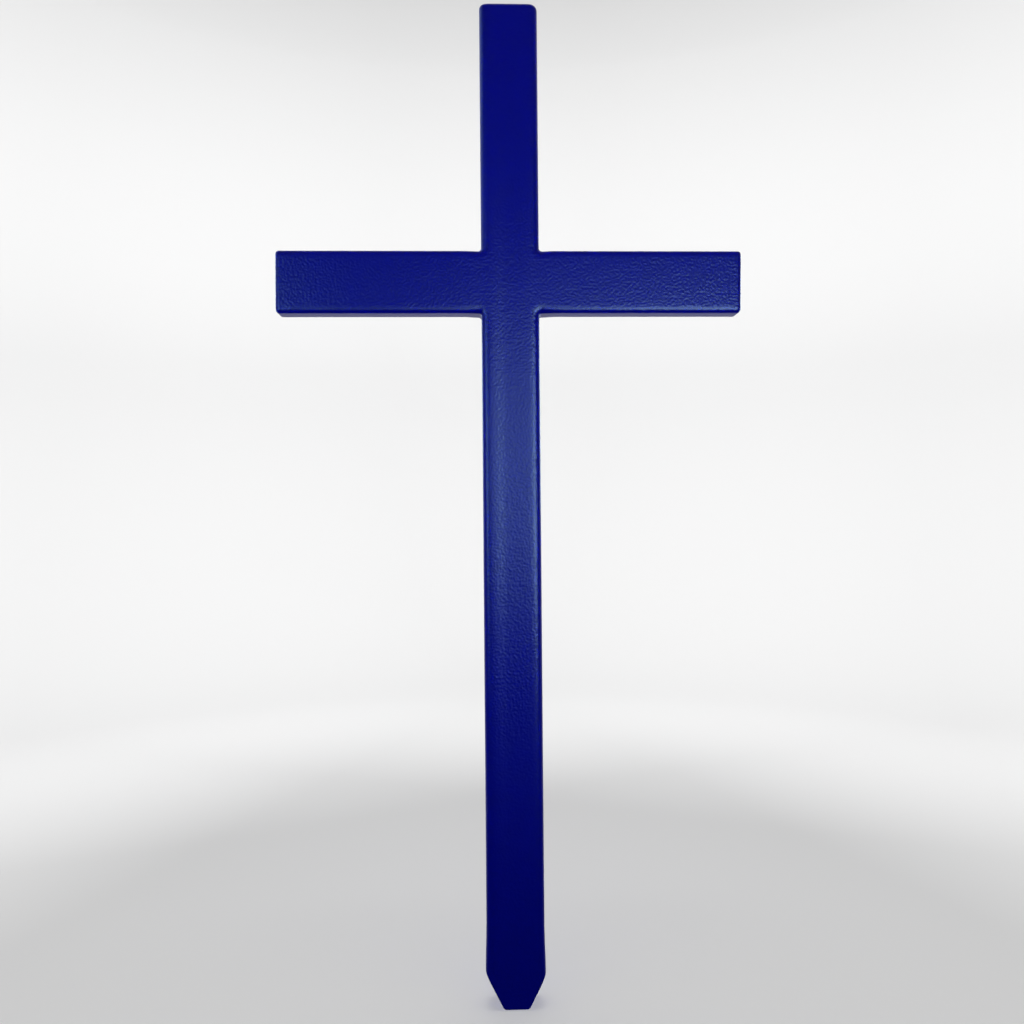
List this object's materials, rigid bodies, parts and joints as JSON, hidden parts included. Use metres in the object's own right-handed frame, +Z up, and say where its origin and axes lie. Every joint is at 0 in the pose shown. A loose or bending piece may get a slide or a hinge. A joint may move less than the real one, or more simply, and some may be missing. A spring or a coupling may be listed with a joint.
{
  "type": "metal grave cross",
  "caption": "Slim Latin cross welded from rectangular steel tube, painted deep blue, with rounded edges and a pointed lower end that is pushed into the ground.",
  "frame": {"origin": "on the upright's axis at the ground line, where the cross leaves the soil", "axes": "+Z up along the upright, +X along the right arm as seen from the front, the front faces -Y"},
  "size_m": [0.401, 0.025, 0.864],
  "materials": {
    "blue_powder_coat": "deep ultramarine powder coat, satin gloss with a fine orange-peel surface"
  },
  "bodies": {
    "root": {"upright": "blue_powder_coat", "top_end_plate": "blue_powder_coat", "point_end_plate": "blue_powder_coat", "left_arm": "blue_powder_coat", "left_end_plate": "blue_powder_coat", "right_arm": "blue_powder_coat", "right_end_plate": "blue_powder_coat"}
  },
  "joints": []
}
